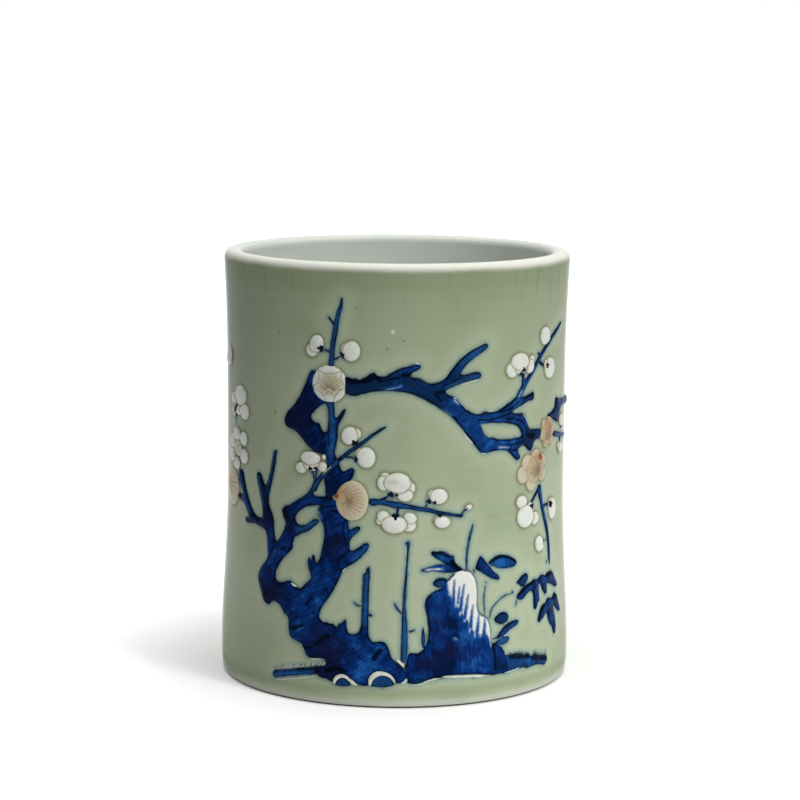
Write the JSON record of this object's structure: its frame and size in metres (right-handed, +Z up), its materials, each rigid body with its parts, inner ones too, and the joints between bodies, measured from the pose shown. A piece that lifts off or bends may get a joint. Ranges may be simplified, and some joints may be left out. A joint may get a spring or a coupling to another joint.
{
  "type": "brush pot",
  "caption": "Waisted cylindrical ceramic brush pot with a celadon ground and a raised prunus tree, garden rock and bamboo in blue and white.",
  "frame": {"origin": "centre of the foot, on the surface that the pot stands on", "axes": "+Z up along the pot's axis; -Y towards the viewer of the picture, the side with the prunus trunk and the rock; +X to the viewer's right"},
  "size_m": [0.112, 0.1129, 0.136],
  "materials": {
    "celadon_body": "clear celadon glaze outside, white glaze on lip and inside",
    "cobalt_slip": "raised slip painted in underglaze blue",
    "white_slip": "raised white slip under clear glaze",
    "buff_slip": "raised slip with iron-buff wash"
  },
  "bodies": {
    "root": {"bamboo_lower": "cobalt_slip", "bamboo_upper": "cobalt_slip", "blossom_beside_trunk": "white_slip", "blossom_buff_lower": "buff_slip", "blossom_buff_upper": "buff_slip", "blossom_centre_lower": "white_slip", "blossom_centre_upper": "white_slip", "blossom_drooping": "white_slip", "blossom_front": "white_slip", "blossom_left_high": "white_slip", "blossom_left_open": "white_slip", "blossom_left_shell": "buff_slip", "blossom_right_high": "white_slip", "blossom_shell": "buff_slip", "bough": "cobalt_slip", "bough_loop": "cobalt_slip", "branch_crossing": "cobalt_slip", "branch_edge_left": "cobalt_slip", "branch_edge_right": "cobalt_slip", "branch_left": "cobalt_slip", "bud_centre_lower": "white_slip", "bud_centre_upper": "white_slip", "bud_drooping_low": "white_slip", "bud_drooping_right": "white_slip", "bud_edge_lower": "white_slip", "bud_edge_upper": "white_slip", "bud_left_edge": "white_slip", "bud_right_lower": "white_slip", "bud_right_upper": "white_slip", "bud_top_left": "white_slip", "bud_top_right": "white_slip", "bud_trunk_lower": "white_slip", "bud_trunk_upper": "white_slip", "bud_twig_tip": "white_slip", "leaf_curled": "cobalt_slip", "leaf_foot_long": "cobalt_slip", "leaf_foot_short": "cobalt_slip", "leaf_rock_bent": "cobalt_slip", "leaf_rock_broad": "cobalt_slip", "leaf_rock_high": "cobalt_slip", "leaf_rock_low": "cobalt_slip", "leaf_round": "cobalt_slip", "mound": "cobalt_slip", "pot_body": "celadon_body", "reed_small": "cobalt_slip", "reed_tall": "cobalt_slip", "rock": "cobalt_slip", "root_arch_left": "white_slip", "root_arch_right": "white_slip", "stem_drooping": "cobalt_slip", "stump_stem": "cobalt_slip", "trunk": "cobalt_slip", "trunk_upper": "cobalt_slip", "twig_edge_right": "cobalt_slip", "twig_middle": "cobalt_slip", "twig_right": "cobalt_slip", "twig_top": "cobalt_slip", "twig_upper": "cobalt_slip", "verge_left": "cobalt_slip", "verge_right": "cobalt_slip"}
  },
  "joints": []
}
